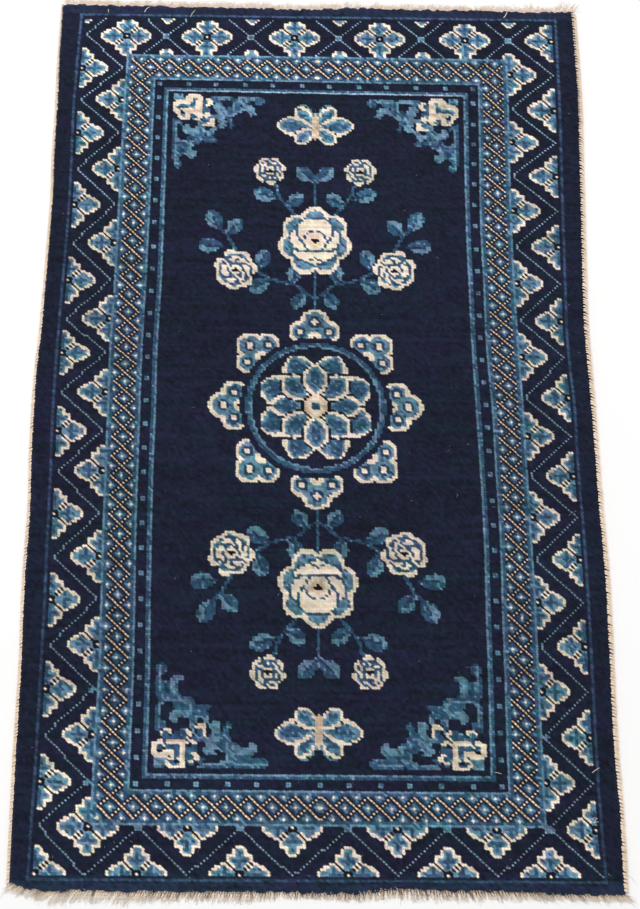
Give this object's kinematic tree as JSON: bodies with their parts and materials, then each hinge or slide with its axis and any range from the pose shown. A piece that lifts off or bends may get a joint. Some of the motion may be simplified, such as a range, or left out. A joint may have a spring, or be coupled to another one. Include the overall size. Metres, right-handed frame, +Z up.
{
  "type": "small pile rug",
  "caption": "Flat hand-knotted pile rug with a bordered field, overcast side edges and short fringes of warp ends at both ends.",
  "frame": {"origin": "middle of the underside, on the floor", "axes": "+X to the right across the rug, +Y along the rug to its head end, +Z up out of the pile"},
  "size_m": [0.7674, 1.2744, 0.008],
  "materials": {
    "wool_pile": "dense navy wool pile with blue, cream and tan knots, soft and matt",
    "cotton_overcast": "cream cotton yarn stitched closely over the edge, worn",
    "cotton_warp": "undyed plied cotton, frayed at the ends"
  },
  "bodies": {
    "root": {"knotted_pile": "wool_pile", "selvedge_left": "cotton_overcast", "selvedge_right": "cotton_overcast", "fringe_head": "cotton_warp", "fringe_foot": "cotton_warp"}
  },
  "joints": []
}
